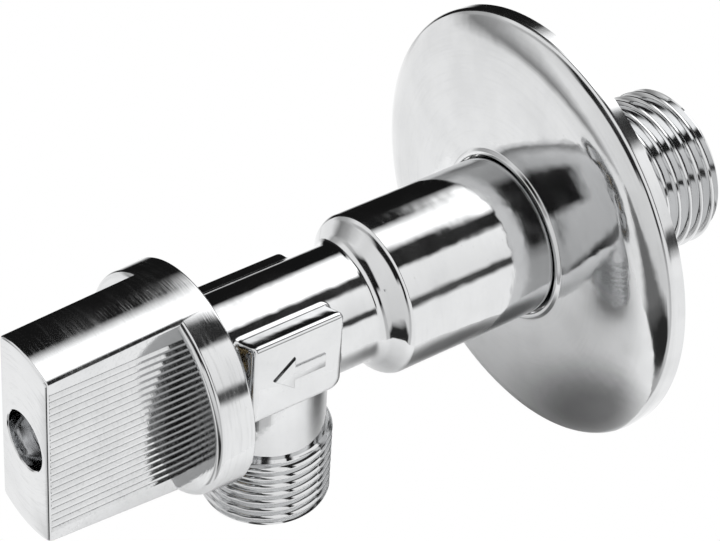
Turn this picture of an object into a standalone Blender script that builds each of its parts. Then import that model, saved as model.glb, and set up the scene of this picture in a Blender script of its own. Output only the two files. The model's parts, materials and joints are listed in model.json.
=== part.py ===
"""Angle stop valve: quarter-turn ball valve with a knob on the inlet's axis.

Frame: +Z up. The inlet axis is Y: the wall is at y = 0 and the knob points to -Y. The outlet
points down. The origin is on the inlet axis, in the plane of the wall that the rosette rests on.
Units are metres, written as millimetres times MM.
"""

import math

import bmesh
import bpy
from mathutils import Matrix, Vector

MM = 0.001
GAP = 0.3 * MM  # between pieces that touch on the real valve
SLOT_GAP = 0.3 * MM  # sliding fits, each side

# Valve body, along Y
NECK_R = 7.65 * MM
NECK_FRONT_Y = -54.0 * MM
SHOULDER_R = 10.4 * MM
SHOULDER_Y = -27.0 * MM
SHOULDER_ROUND = 2.6 * MM
NECK_FILLET = 0.8 * MM
COLLAR_END_Y = 5.6 * MM
INLET_END_Y = 22.0 * MM
CHAMBER_R = 6.2 * MM
CHAMBER_END_Y = -34.6 * MM
INLET_BORE_R = 4.5 * MM

# Pipe threads: outer radius, pitch and thread depth
INLET_THREAD = (10.478 * MM, 1.814 * MM, 1.162 * MM)  # G1/2
OUTLET_THREAD = (8.331 * MM, 1.337 * MM, 0.856 * MM)  # G3/8
THREAD_CHAMFER = 1.0 * MM

# Outlet, along -Z
OUTLET_Y = -41.3 * MM
OUTLET_NECK_R = 7.42 * MM
OUTLET_THREAD_TOP = -13.4 * MM
OUTLET_END_Z = -24.8 * MM
OUTLET_BORE_R = 4.8 * MM

# Side pads over the outlet
PAD_X = 8.6 * MM
PAD_Y = (-49.7 * MM, -36.4 * MM)
PAD_Z = (-3.9 * MM, 6.9 * MM)
PAD_ROUND = 0.9 * MM

# Ball and its three rings
BALL_R = 5.8 * MM
PORT_R = 3.1 * MM
RING_REACH = 4.7 * MM  # from the ball's centre to the near face of each ring
RING_R = 5.95 * MM
RING_HOLE_R = 3.65 * MM
RING_LENGTH = 1.7 * MM
SEAT_R = 4.5 * MM
SEAT_LENGTH = 2.6 * MM
TANG = (1.45 * MM, 2.6 * MM)  # half width, half height
TANG_TIP_Y = OUTLET_Y - 4.3 * MM

# Stem and bonnet
STEM_R = 3.2 * MM
STEM_FLANGE_R = 4.6 * MM
STEM_FLANGE = 1.4 * MM
STEM_DRIVE = 2.5 * MM  # half of the flats' width
STEM_END_Y = -68.3 * MM
STEM_HOLE_R = 1.75 * MM
BONNET_BORE_R = 3.5 * MM
BONNET_R = 5.95 * MM
BONNET_POCKET_R = 5.1 * MM
BONNET_FLATS = 14.0 * MM
BONNET_HEAD = 1.5 * MM
O_RING = 0.5 * MM  # section radius
STOP_R = 6.3 * MM
STOP_PIN_R = 0.8 * MM
TURN = math.radians(90)

# Knob, along Y
KNOB_FRONT_Y = -75.5 * MM
KNOB_FRONT_R = 13.3 * MM
KNOB_WALL_Y = -57.9 * MM
KNOB_BACK_Y = -52.9 * MM
KNOB_BACK_R = 14.4 * MM
KNOB_FLAT_X = 5.1 * MM
KNOB_CAVITY_R = 12.5 * MM
KNOB_CAVITY_Y = -56.9 * MM
RIB_PITCH = 1.04 * MM
RIB_HEIGHT = 0.22 * MM
RIBS = 21
SCREW_WELL_R = 3.8 * MM
SCREW_WELL_Y = -70.2 * MM
SCREW_WEB = 1.5 * MM
SCREW_R = 1.45 * MM
SCREW_HEAD_R = 3.1 * MM
SCREW_HEAD = 2.2 * MM

# Rosette
ROSETTE_R = 28.5 * MM
ROSETTE_SHOULDER = (27.4 * MM, -3.3 * MM)
ROSETTE_FOOT = (13.2 * MM, -5.4 * MM)
ROSETTE_LIP = (11.3 * MM, -7.4 * MM)
ROSETTE_HOLE_R = 10.9 * MM
ROSETTE_SHEET = 0.8 * MM
GRIP_RING_R = (10.65 * MM, 11.75 * MM)
GRIP_RING_Y = (-4.8 * MM, -3.6 * MM)

ALONG_Y = Matrix.Rotation(math.radians(-90), 4, "X")  # turns +Z to +Y
DOWN = Matrix.Rotation(math.radians(180), 4, "X")  # turns +Z to -Z

CHROME = ((0.80, 0.81, 0.82), 1.0, 0.06)
BRASS = ((0.78, 0.60, 0.28), 1.0, 0.28)
STEEL = ((0.60, 0.60, 0.60), 1.0, 0.30)
PTFE = ((0.90, 0.90, 0.88), 0.0, 0.45)
EPDM = ((0.02, 0.02, 0.02), 0.0, 0.60)


def clear_scene():
    for obj in list(bpy.data.objects):
        bpy.data.objects.remove(obj, do_unlink=True)


def material(name, look):
    color, metallic, roughness = look
    made = bpy.data.materials.new(name)
    made.use_nodes = True
    shader = made.node_tree.nodes["Principled BSDF"]
    shader.inputs["Base Color"].default_value = (*color, 1)
    shader.inputs["Metallic"].default_value = metallic
    shader.inputs["Roughness"].default_value = roughness
    return made


def add_object(name, bm, look=None, origin=(0, 0, 0)):
    """Makes an object of the mesh, which is in the row frame, with its own origin. No look: a cutter."""
    bmesh.ops.recalc_face_normals(bm, faces=bm.faces)
    bmesh.ops.translate(bm, vec=-Vector(origin), verts=bm.verts)
    mesh = bpy.data.meshes.new(name)
    bm.to_mesh(mesh)
    bm.free()
    mesh.shade_smooth()
    mesh.set_sharp_from_angle(angle=math.radians(35))
    obj = bpy.data.objects.new(name, mesh)
    obj.location = origin
    bpy.context.scene.collection.objects.link(obj)
    if look:
        mesh.materials.append(material(name, look))
    else:
        obj.hide_render = True
        obj.display_type = "WIRE"
    return obj


def combine(obj, other, operation):
    boolean = obj.modifiers.new(f"{operation.lower()} {other.name}", "BOOLEAN")
    boolean.operation = operation
    boolean.solver = "EXACT"
    boolean.object = other


def lathe(outline, segments, place=ALONG_Y):
    """Turns a closed outline of (radius, height) points about Z, then places it: ALONG_Y puts height on Y."""
    bm = bmesh.new()
    verts = [bm.verts.new((radius, 0, height)) for radius, height in outline]
    sides = [pair for pair in zip(verts, verts[1:] + verts[:1]) if pair[0].co.x + pair[1].co.x > 0]
    edges = [bm.edges.new(pair) for pair in sides]
    bmesh.ops.spin(bm, geom=verts + edges, cent=(0, 0, 0), axis=(0, 0, 1), angle=2 * math.pi,
                   steps=segments, use_merge=True)
    bmesh.ops.remove_doubles(bm, verts=bm.verts, dist=1e-7)
    bmesh.ops.transform(bm, matrix=place, verts=bm.verts)
    return bm


def at_outlet(place):
    return Matrix.Translation((0, OUTLET_Y, 0)) @ place


def rod(radius, low, high, segments, place=ALONG_Y):
    return lathe([(0, low), (radius, low), (radius, high), (0, high)], segments, place)


def ring(hole, radius, low, high, segments, place=ALONG_Y):
    return lathe([(hole, low), (radius, low), (radius, high), (hole, high)], segments, place)


def box(low, high):
    bm = bmesh.new()
    bmesh.ops.create_cube(bm, size=1)
    size = Vector(high) - Vector(low)
    bmesh.ops.scale(bm, vec=size, verts=bm.verts)
    bmesh.ops.translate(bm, vec=(Vector(high) + Vector(low)) / 2, verts=bm.verts)
    return bm


def arc(center, radius, start, stop, steps):
    """Points on an arc in (radius, height) coordinates, angles in degrees from the outward direction."""
    turns = [math.radians(start + (stop - start) * i / steps) for i in range(steps + 1)]
    return [(center[0] + radius * math.cos(t), center[1] + radius * math.sin(t)) for t in turns]


def o_ring(radius, height, place=ALONG_Y):
    return lathe(arc((radius, height), O_RING, 0, 300, 5), 20, place)


def threaded_rod(thread, low, high, segments, place):
    """A solid rod with a helical pipe thread from low to high, cut square at low and chamfered at high."""
    outer, pitch, depth = thread
    root = outer - depth
    profile = [(root, 0), (outer, 0.36), (outer, 0.64), (root, 1)]
    turns = math.ceil((high - low) / pitch) + 2
    bm = bmesh.new()
    verts = [bm.verts.new((r, 0, low + (step - 1.5) * pitch)) for r, step in profile]
    edges = [bm.edges.new(pair) for pair in zip(verts, verts[1:])]
    bmesh.ops.spin(bm, geom=verts + edges, cent=(0, 0, 0), axis=(0, 0, 1), angle=2 * math.pi * turns,
                   steps=segments * turns, dvec=(0, 0, pitch / segments))
    bmesh.ops.remove_doubles(bm, verts=bm.verts, dist=1e-6)
    for height, side in ((low, -1), (high, 1)):
        cut = bmesh.ops.bisect_plane(bm, geom=bm.verts[:] + bm.edges[:] + bm.faces[:], dist=1e-7,
                                     plane_co=(0, 0, height), plane_no=(0, 0, side), clear_outer=True)
        rim = [edge for edge in cut["geom_cut"] if isinstance(edge, bmesh.types.BMEdge)]
        bmesh.ops.contextual_create(bm, geom=rim)
    for vert in bm.verts:
        reach = vert.co.xy.length
        allowed = outer - THREAD_CHAMFER + high - vert.co.z
        if reach > allowed:
            vert.co.xy *= allowed / reach
    bmesh.ops.remove_doubles(bm, verts=bm.verts, dist=0.02 * MM)
    bmesh.ops.transform(bm, matrix=place, verts=bm.verts)
    return bm


def side_pads():
    """The two side pads as one block through the neck, with rounded edges."""
    bm = box((-PAD_X, PAD_Y[0], PAD_Z[0]), (PAD_X, PAD_Y[1], PAD_Z[1]))
    long_edges = [e for e in bm.edges if abs((e.verts[0].co - e.verts[1].co).x) < MM]
    bmesh.ops.bevel(bm, geom=long_edges, offset=PAD_ROUND, segments=3, profile=0.5, affect="EDGES")
    return bm


def valve_body():
    shoulder = arc((SHOULDER_R - SHOULDER_ROUND, SHOULDER_Y), SHOULDER_ROUND, -90, 0, 5)
    fillet_y = SHOULDER_Y - SHOULDER_ROUND
    fillet = arc((NECK_R + NECK_FILLET, fillet_y - NECK_FILLET), NECK_FILLET, 180, 90, 3)
    root = INLET_THREAD[0] - INLET_THREAD[2] - 0.2 * MM
    relief = COLLAR_END_Y + MM
    outline = [(0, NECK_FRONT_Y), (NECK_R - 0.4 * MM, NECK_FRONT_Y), (NECK_R, NECK_FRONT_Y + 0.4 * MM)]
    outline += fillet + shoulder
    outline += [(SHOULDER_R, COLLAR_END_Y), (root, relief), (root, relief + 2 * MM), (0, relief + 2 * MM)]
    body = add_object("valve_body", lathe(outline, 40), CHROME)

    inlet = add_object("inlet_thread_form", threaded_rod(INLET_THREAD, relief + MM, INLET_END_Y, 20, ALONG_Y))
    down = at_outlet(DOWN)
    outlet = add_object("outlet_thread_form", threaded_rod(
        OUTLET_THREAD, -OUTLET_THREAD_TOP, -OUTLET_END_Z, 20, down))
    outlet_neck = add_object("outlet_neck_form", rod(
        OUTLET_NECK_R, 0, -OUTLET_THREAD_TOP + 0.4 * MM, 32, down))
    pads = add_object("side_pads_form", side_pads())
    for form in (pads, outlet_neck, inlet, outlet):
        combine(body, form, "UNION")

    chamber = add_object("chamber_cutter", rod(CHAMBER_R, NECK_FRONT_Y - MM, CHAMBER_END_Y, 24))
    inlet_bore = add_object("inlet_bore_cutter", rod(INLET_BORE_R, CHAMBER_END_Y - MM, INLET_END_Y + MM, 24))
    outlet_bore = add_object("outlet_bore_cutter", rod(OUTLET_BORE_R, 0, MM - OUTLET_END_Z, 24, down))
    for cutter in (chamber, inlet_bore, outlet_bore):
        combine(body, cutter, "DIFFERENCE")


def ball():
    bm = bmesh.new()
    turned = Matrix.Translation((0, OUTLET_Y, 0)) @ ALONG_Y
    bmesh.ops.create_uvsphere(bm, u_segments=24, v_segments=12, radius=BALL_R, matrix=turned)
    made = add_object("ball", bm, CHROME, origin=(0, OUTLET_Y, 0))
    port = rod(PORT_R, OUTLET_Y, OUTLET_Y + 2 * BALL_R, 24)
    side_port = rod(PORT_R, -PORT_R, 2 * BALL_R, 24, at_outlet(DOWN))
    half = TANG[0] + SLOT_GAP
    slot = box((-half, OUTLET_Y - 2 * BALL_R, -2 * BALL_R), (half, TANG_TIP_Y + SLOT_GAP, 2 * BALL_R))
    for name, cutter in (("port", port), ("side_port", side_port), ("slot", slot)):
        combine(made, add_object(f"ball_{name}_cutter", cutter), "DIFFERENCE")


def ball_rings():
    """The bearing rings before and behind the ball, and the outlet's seat with its O-ring and retainer."""
    front = OUTLET_Y - RING_REACH
    rear = OUTLET_Y + RING_REACH
    add_object("front_bearing_ring", ring(RING_HOLE_R, RING_R, front - RING_LENGTH, front, 24), PTFE)
    add_object("rear_bearing_ring", ring(RING_HOLE_R, RING_R, rear, rear + RING_LENGTH, 24), PTFE)
    down = at_outlet(DOWN)
    seat_end = RING_REACH + SEAT_LENGTH
    mouth = (RING_HOLE_R, RING_REACH)
    throat = (PORT_R, RING_REACH + 0.6 * MM)
    seat = [mouth, (SEAT_R, RING_REACH), (SEAT_R, seat_end), (PORT_R, seat_end), throat]
    add_object("outlet_seat", lathe(seat, 24, down), PTFE)
    o_ring_y = seat_end + GAP + O_RING
    add_object("seat_o_ring", o_ring(SEAT_R - O_RING, o_ring_y, down), EPDM)
    retainer = o_ring_y + O_RING + GAP
    made = add_object("seat_retainer", ring(PORT_R, SEAT_R, retainer, retainer + 3 * MM, 24, down), BRASS)
    key = box((-SEAT_R - MM, OUTLET_Y - 0.8 * MM, -retainer - 5 * MM),
              (SEAT_R + MM, OUTLET_Y + 0.8 * MM, -retainer - 2 * MM))
    combine(made, add_object("retainer_key_cutter", key), "DIFFERENCE")


def drive_form(half, radius, low, high):
    """A rod along Y with four drive flats."""
    made = rod(radius, low, high, 24)
    for turn in range(4):
        normal = Matrix.Rotation(turn * math.pi / 2, 3, "Y") @ Vector((1, 0, 0))
        cut = bmesh.ops.bisect_plane(made, geom=made.verts[:] + made.edges[:] + made.faces[:], dist=1e-7,
                                     plane_co=normal * half, plane_no=normal, clear_outer=True)
        rim = [edge for edge in cut["geom_cut"] if isinstance(edge, bmesh.types.BMEdge)]
        bmesh.ops.contextual_create(made, geom=rim)
    return made


def flange_y():
    """Where the stem's flange begins, seen from the ball."""
    return OUTLET_Y - RING_REACH - RING_LENGTH - GAP


def stem_groove_heights():
    first = flange_y() - STEM_FLANGE - 2.3 * MM
    return first, first - 1.8 * MM


def stem():
    low = flange_y() - STEM_FLANGE
    drive_top = bonnet_front() - 0.1 * MM
    floor = STEM_R - 2 * O_RING
    wide = 0.7 * MM
    outline = [(0, flange_y()), (STEM_FLANGE_R, flange_y()), (STEM_FLANGE_R, low), (STEM_R, low)]
    for height in stem_groove_heights():
        outline += [(STEM_R, height + wide), (floor, height + wide)]
        outline += [(floor, height - wide), (STEM_R, height - wide)]
    outline += [(STEM_R, drive_top), (0, drive_top)]
    made = add_object("stem", lathe(outline, 24), BRASS)
    drive = add_object("stem_drive_form", drive_form(STEM_DRIVE, STEM_R, STEM_END_Y, drive_top + 0.2 * MM))
    tang = add_object("stem_tang_form", box(
        (-TANG[0], flange_y() - 0.5 * MM, -TANG[1]), (TANG[0], TANG_TIP_Y, TANG[1])))
    tapped = add_object("stem_hole_cutter", rod(STEM_HOLE_R, STEM_END_Y - MM, STEM_END_Y + 9 * MM, 24))
    combine(made, drive, "UNION")
    combine(made, tang, "UNION")
    combine(made, tapped, "DIFFERENCE")
    for name, height in zip(("inner", "outer"), stem_groove_heights()):
        add_object(f"stem_o_ring_{name}", o_ring(STEM_R - O_RING + 0.1 * MM, height), EPDM)
    washer = low - GAP
    add_object("thrust_washer", ring(BONNET_BORE_R, STEM_FLANGE_R, washer - 0.5 * MM, washer, 24), PTFE)


def bonnet_front():
    return NECK_FRONT_Y - GAP - BONNET_HEAD


def bonnet():
    back = flange_y() + 0.1 * MM
    pocket = flange_y() - STEM_FLANGE - 1.1 * MM
    head = NECK_FRONT_Y - GAP
    floor = BONNET_R - 2 * O_RING
    outline = [(BONNET_POCKET_R, back), (BONNET_R, back), (BONNET_R, head + 2 * MM), (floor, head + 2 * MM),
               (floor, head + 0.6 * MM), (BONNET_R, head + 0.6 * MM), (BONNET_R, bonnet_front()),
               (BONNET_BORE_R, bonnet_front()), (BONNET_BORE_R, pocket), (BONNET_POCKET_R, pocket)]
    made = add_object("bonnet", lathe(outline, 24), BRASS)
    hexagon = ring(BONNET_BORE_R + MM, BONNET_FLATS / math.sqrt(3), bonnet_front(), head, 6)
    combine(made, add_object("bonnet_hexagon_form", hexagon), "UNION")
    hole = stop_pin_form(STOP_PIN_R + SLOT_GAP, bonnet_front() - MM, head - 0.4 * MM)
    combine(made, add_object("stop_pin_hole_cutter", hole), "DIFFERENCE")
    add_object("bonnet_o_ring", o_ring(BONNET_R - O_RING + 0.1 * MM, head + 1.3 * MM), EPDM)


def stop_pin_form(radius, low, high):
    return rod(radius, low, high, 16, Matrix.Translation((0, 0, STOP_R)) @ ALONG_Y)


def stops():
    """The pin in the bonnet and the notched washer on the stem that hold the turn to a quarter."""
    front = bonnet_front()
    thick = 0.7 * MM
    pin = stop_pin_form(STOP_PIN_R, front - GAP - thick, NECK_FRONT_Y - GAP - 0.7 * MM)
    add_object("stop_pin", pin, STEEL)
    washer = add_object("stop_washer", rod(STOP_R + MM, front - GAP - thick, front - GAP, 32), STEEL)
    hole = drive_form(STEM_DRIVE + SLOT_GAP, STEM_R + SLOT_GAP, front - 3 * MM, front + MM)
    combine(washer, add_object("washer_hole_cutter", hole), "DIFFERENCE")
    side = math.asin((STOP_PIN_R + SLOT_GAP) / STOP_R)
    steps = 6
    # The notch is left of the pin at rest, so a turn to the right brings its far edge to the pin.
    turns = [side - i * (TURN + 2 * side) / steps for i in range(steps + 1)]
    near, far = STOP_R - STOP_PIN_R - SLOT_GAP, STOP_R + 3 * MM
    outline = [(near * math.sin(t), near * math.cos(t)) for t in turns]
    outline += [(far * math.sin(t), far * math.cos(t)) for t in reversed(turns)]
    notch = prism(outline, front - 3 * MM, front + MM)
    combine(washer, add_object("washer_notch_cutter", notch), "DIFFERENCE")


def prism(outline, low, high):
    """Extrudes a closed outline of (x, z) points along Y."""
    bm = bmesh.new()
    face = bm.faces.new([bm.verts.new((x, low, z)) for x, z in outline])
    made = bmesh.ops.extrude_face_region(bm, geom=[face])["geom"]
    moved = [item for item in made if isinstance(item, bmesh.types.BMVert)]
    bmesh.ops.translate(bm, vec=(0, high - low, 0), verts=moved)
    return bm


def ribbed_side(side):
    """What is milled off one side of the knob: its inner face leaves the ribs standing."""
    half = RIBS * RIB_PITCH / 2
    outline = [(30 * MM, -30 * MM), (30 * MM, 30 * MM), (KNOB_FLAT_X, 30 * MM), (KNOB_FLAT_X, half)]
    for rib in range(RIBS):
        top = half - rib * RIB_PITCH
        outline += [(KNOB_FLAT_X - RIB_HEIGHT, top - RIB_PITCH / 2), (KNOB_FLAT_X, top - RIB_PITCH)]
    outline.append((KNOB_FLAT_X, -30 * MM))
    return prism([(side * x, z) for x, z in outline], KNOB_FRONT_Y - MM, KNOB_WALL_Y)


def knob():
    edge = 0.3 * MM
    outline = [(0, KNOB_FRONT_Y), (KNOB_FRONT_R - edge, KNOB_FRONT_Y), (KNOB_FRONT_R, KNOB_FRONT_Y + edge),
               (KNOB_BACK_R, KNOB_BACK_Y - edge), (KNOB_BACK_R - edge, KNOB_BACK_Y),
               (KNOB_CAVITY_R, KNOB_BACK_Y), (KNOB_CAVITY_R, KNOB_CAVITY_Y), (0, KNOB_CAVITY_Y)]
    made = add_object("handle", lathe(outline, 48), CHROME)
    for side, name in ((1, "right"), (-1, "left")):
        combine(made, add_object(f"{name}_side_cutter", ribbed_side(side)), "DIFFERENCE")
    web = SCREW_WELL_Y + SCREW_WEB
    well = rod(SCREW_WELL_R, KNOB_FRONT_Y - MM, SCREW_WELL_Y, 24)
    hole = rod(SCREW_R + 0.6 * MM, SCREW_WELL_Y - MM, web + MM, 24)
    socket = drive_form(STEM_DRIVE + SLOT_GAP, STEM_R + SLOT_GAP, web, KNOB_CAVITY_Y + MM)
    for name, cutter in (("screw_well", well), ("screw_hole", hole), ("socket", socket)):
        combine(made, add_object(f"{name}_cutter", cutter), "DIFFERENCE")

    washer = SCREW_WELL_Y - GAP
    add_object("screw_washer", ring(SCREW_R + SLOT_GAP, SCREW_HEAD_R, washer - 0.6 * MM, washer, 24), STEEL)
    under = washer - 0.6 * MM - GAP
    top = under - SCREW_HEAD
    head = [(0, top), (SCREW_HEAD_R - 0.6 * MM, top), (SCREW_HEAD_R, top + 0.6 * MM), (SCREW_HEAD_R, under),
            (SCREW_R, under), (SCREW_R, STEM_END_Y + 7 * MM), (0, STEM_END_Y + 7 * MM)]
    screw = add_object("handle_screw", lathe(head, 24), STEEL)
    for turn, name in ((0, "upright"), (1, "level")):
        half = (0.45 * MM, 2.0 * MM)
        x, z = half if turn == 0 else reversed(half)
        recess = box((-x, top - MM, -z), (x, top + 1.3 * MM, z))
        combine(screw, add_object(f"{name}_recess_cutter", recess), "DIFFERENCE")


def rosette():
    shoulder, foot, lip = ROSETTE_SHOULDER, ROSETTE_FOOT, ROSETTE_LIP
    sheet = ROSETTE_SHEET
    outside = [(ROSETTE_R, 0), (ROSETTE_R, -1.6 * MM), (ROSETTE_R - 0.3 * MM, -2.6 * MM), shoulder,
               (foot[0] + 6 * MM, foot[1] + 0.5 * MM), foot, (lip[0] + 0.75 * MM, foot[1] - 0.6 * MM),
               (lip[0] + 0.3 * MM, lip[1] + 0.25 * MM), lip, (ROSETTE_HOLE_R, lip[1] + 0.4 * MM)]
    inside = [(ROSETTE_HOLE_R, foot[1] - 0.6 * MM), (lip[0], foot[1] + 0.1 * MM), (foot[0], foot[1] + sheet),
              (foot[0] + 6 * MM, foot[1] + 0.5 * MM + sheet), (shoulder[0] - 0.3 * MM, shoulder[1] + sheet),
              (ROSETTE_R - sheet, -1.6 * MM), (ROSETTE_R - sheet, 0)]
    add_object("rosette", lathe(outside + inside, 48), CHROME)
    low, high = GRIP_RING_R
    back, front = GRIP_RING_Y[1], GRIP_RING_Y[0]
    add_object("rosette_grip_ring", ring(low, high, front, back, 32), EPDM)


clear_scene()
valve_body()
ball()
ball_rings()
stem()
bonnet()
stops()
knob()
rosette()
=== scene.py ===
# %% [markdown]
# # A chromed angle stop valve with a quarter-turn knob
# The solid model is loaded first and never changes. Everything that shows is then built around it: finer
# surfaces where chrome would give facets away, and a finish for every piece. Lengths are in metres,
# written as millimetres times MM. +Z is up, the wall is at y = 0 and the knob points to -Y.

# %% Load the solid model
import json
import math

import bmesh
import bpy
import numpy as np
from mathutils import Matrix, Vector

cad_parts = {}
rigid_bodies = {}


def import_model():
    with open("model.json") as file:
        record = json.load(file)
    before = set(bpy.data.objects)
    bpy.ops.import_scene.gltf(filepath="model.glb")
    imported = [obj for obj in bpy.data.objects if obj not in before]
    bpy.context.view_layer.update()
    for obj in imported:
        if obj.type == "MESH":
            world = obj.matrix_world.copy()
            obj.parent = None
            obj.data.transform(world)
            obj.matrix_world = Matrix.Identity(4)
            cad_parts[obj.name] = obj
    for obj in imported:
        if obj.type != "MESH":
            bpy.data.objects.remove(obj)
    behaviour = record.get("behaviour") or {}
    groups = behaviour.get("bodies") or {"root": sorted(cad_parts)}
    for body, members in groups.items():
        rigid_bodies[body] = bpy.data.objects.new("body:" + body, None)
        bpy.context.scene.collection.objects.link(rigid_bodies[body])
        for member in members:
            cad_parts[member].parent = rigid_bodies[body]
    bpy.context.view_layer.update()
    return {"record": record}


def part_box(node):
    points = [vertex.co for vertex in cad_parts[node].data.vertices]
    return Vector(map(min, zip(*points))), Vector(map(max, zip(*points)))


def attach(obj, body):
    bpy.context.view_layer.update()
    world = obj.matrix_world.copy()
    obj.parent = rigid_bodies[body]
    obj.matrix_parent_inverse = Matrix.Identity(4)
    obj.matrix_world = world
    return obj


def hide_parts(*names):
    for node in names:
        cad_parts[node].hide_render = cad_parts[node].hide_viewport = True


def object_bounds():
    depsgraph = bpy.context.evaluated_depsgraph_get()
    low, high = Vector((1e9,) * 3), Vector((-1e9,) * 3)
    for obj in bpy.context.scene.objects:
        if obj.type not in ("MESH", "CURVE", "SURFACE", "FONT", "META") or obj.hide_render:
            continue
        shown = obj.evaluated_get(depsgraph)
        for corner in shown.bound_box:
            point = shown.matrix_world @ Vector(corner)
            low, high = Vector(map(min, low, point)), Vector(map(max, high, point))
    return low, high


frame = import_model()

MM = 0.001

# %% [markdown]
# ## Camera
# A small part is best seen from some distance with a long lens, so that round parts stay round and the far
# end isn't made small. The camera stands 52 degrees round to the right of the knob, looks down at 40 degrees
# and is tilted a little. Its matrix is built from those angles, which are easier to check than a typed
# rotation.

# %% Camera
AIM = Vector((0, -28.3 * MM, 0))
DISTANCE = 381.93 * MM
AZIMUTH, ELEVATION, ROLL = (math.radians(angle) for angle in (51.81, 40.0, 3.69))
AIM_RIGHT, AIM_UP = 0.44 * MM, 3.3 * MM
LENS, SENSOR_WIDTH = 156.05, 36

looking = Vector((-math.sin(AZIMUTH) * math.cos(ELEVATION), math.cos(AZIMUTH) * math.cos(ELEVATION),
                  -math.sin(ELEVATION)))
level = Vector((math.cos(AZIMUTH), math.sin(AZIMUTH), 0))
upright = level.cross(looking)
right = level * math.cos(ROLL) + upright * math.sin(ROLL)
up = upright * math.cos(ROLL) - level * math.sin(ROLL)
camera = bpy.data.objects.new("camera", bpy.data.cameras.new("camera"))
camera.data.lens, camera.data.sensor_width = LENS, SENSOR_WIDTH
camera.data.clip_start, camera.data.clip_end = 0.01, 10
camera.matrix_world = Matrix.Translation(AIM - looking * DISTANCE + right * AIM_RIGHT + up * AIM_UP) @ Matrix(
    (right, up, -looking)).transposed().to_4x4()
bpy.context.scene.collection.objects.link(camera)
bpy.context.scene.camera = camera
print("camera at", [round(x, 3) for x in camera.location])

# %% [markdown]
# ## Helpers for turned parts
# Nearly every part of a valve is turned on a lathe, so nearly every shape here is an outline spun about
# an axis. Real edges are never knife sharp: polishing rounds them, and that thin rounding is what
# catches the light. `rounded` therefore takes corners, each with its own rounding, and puts an arc in
# place of each corner. It works for outer edges and for inner fillets alike.

# %% Outline with rounded corners
ALONG_Y = Matrix.Rotation(math.radians(-90), 4, "X")  # turns +Z to +Y
DOWN = Matrix.Rotation(math.radians(180), 4, "X")  # turns +Z to -Z


def rounded(corners, steps=8):
    """Turns corners of (radius, height, rounding) into points, with an arc wherever there is a rounding."""
    points = []
    for i, (radius, height, rounding) in enumerate(corners):
        here = Vector((radius, height))
        if not rounding:
            points.append(here)
            continue
        before = (Vector(corners[i - 1][:2]) - here).normalized()
        after = (Vector(corners[(i + 1) % len(corners)][:2]) - here).normalized()
        half = before.angle(after) / 2
        center = here + (before + after).normalized() * rounding / math.sin(half)
        first = here + before * rounding / math.tan(half) - center
        last = here + after * rounding / math.tan(half) - center
        points += [center + first.lerp(last, i / steps).normalized() * rounding for i in range(steps + 1)]
    return points


def arc(center, radius, start, stop, steps):
    """Points on an arc, with angles in degrees from the outward direction."""
    turns = [math.radians(start + (stop - start) * i / steps) for i in range(steps + 1)]
    return [Vector((center[0] + radius * math.cos(t), center[1] + radius * math.sin(t))) for t in turns]


def mm(corners):
    """The same as rounded, for corners in millimetres."""
    return [point * MM for point in rounded(corners)]


# %% Spin an outline, and finish a mesh as a piece
def turned(outline, steps=192, place=ALONG_Y):
    """Spins a closed outline of (radius, height) points about Z, then turns and moves it into place."""
    bm = bmesh.new()
    verts = [bm.verts.new((radius, 0, height)) for radius, height in outline]
    sides = [pair for pair in zip(verts, verts[1:] + verts[:1]) if pair[0].co.x + pair[1].co.x > 0]
    edges = [bm.edges.new(pair) for pair in sides]
    bmesh.ops.spin(bm, geom=verts + edges, cent=(0, 0, 0), axis=(0, 0, 1), angle=2 * math.pi, steps=steps,
                   use_merge=True)
    bmesh.ops.remove_doubles(bm, verts=bm.verts, dist=1e-7)
    bmesh.ops.transform(bm, matrix=place, verts=bm.verts)
    bmesh.ops.recalc_face_normals(bm, faces=bm.faces)
    return bm


def piece(name, bm, sharp=30):
    """Makes an object of the mesh, smooth except at edges sharper than this many degrees."""
    bmesh.ops.recalc_face_normals(bm, faces=bm.faces)
    mesh = bpy.data.meshes.new(name)
    bm.to_mesh(mesh)
    bm.free()
    mesh.shade_smooth()
    mesh.set_sharp_from_angle(angle=math.radians(sharp))
    obj = bpy.data.objects.new(name, mesh)
    bpy.context.scene.collection.objects.link(obj)
    return obj


def carve(obj, bm, operation="DIFFERENCE", sharp=30):
    """Cuts a shape from an object, or joins it on, and applies that at once."""
    other = piece("shape", bm)
    step = obj.modifiers.new("carve", "BOOLEAN")
    step.operation, step.solver, step.object = operation, "MANIFOLD", other
    evaluated = obj.evaluated_get(bpy.context.evaluated_depsgraph_get())
    mesh = bpy.data.meshes.new_from_object(evaluated)
    obj.modifiers.clear()
    obj.data = mesh
    mesh.shade_smooth()
    mesh.set_sharp_from_angle(angle=math.radians(sharp))
    bpy.data.objects.remove(other)
    return obj


def describe(obj):
    """Prints how many faces an object has, and its size."""
    low, high = (Vector(map(pick, zip(*obj.bound_box))) for pick in (min, max))
    size = " x ".join(f"{side / MM:.1f}" for side in high - low)
    print(f"{obj.name}: {len(obj.data.polygons)} faces, {size} mm")


# %% [markdown]
# ## Body: one forging with two side pads
# The neck, the shoulder and the collar are turned, but the two side pads are forged with the neck, with a
# soft fillet round them. A Bevel can't round the line where a flat pad meets a round neck made of narrow
# strips. So the neck is spun as usual, and each of its points is then pushed out to where a smooth joining
# of neck and pads has its surface. That joining is written as distances: the larger of two distances is
# what two shapes share, the smaller is both shapes together, and a quarter circle where they meet makes the
# rounding or the fillet. The outlet's branch is a plain cylinder, joined on afterwards.

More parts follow.
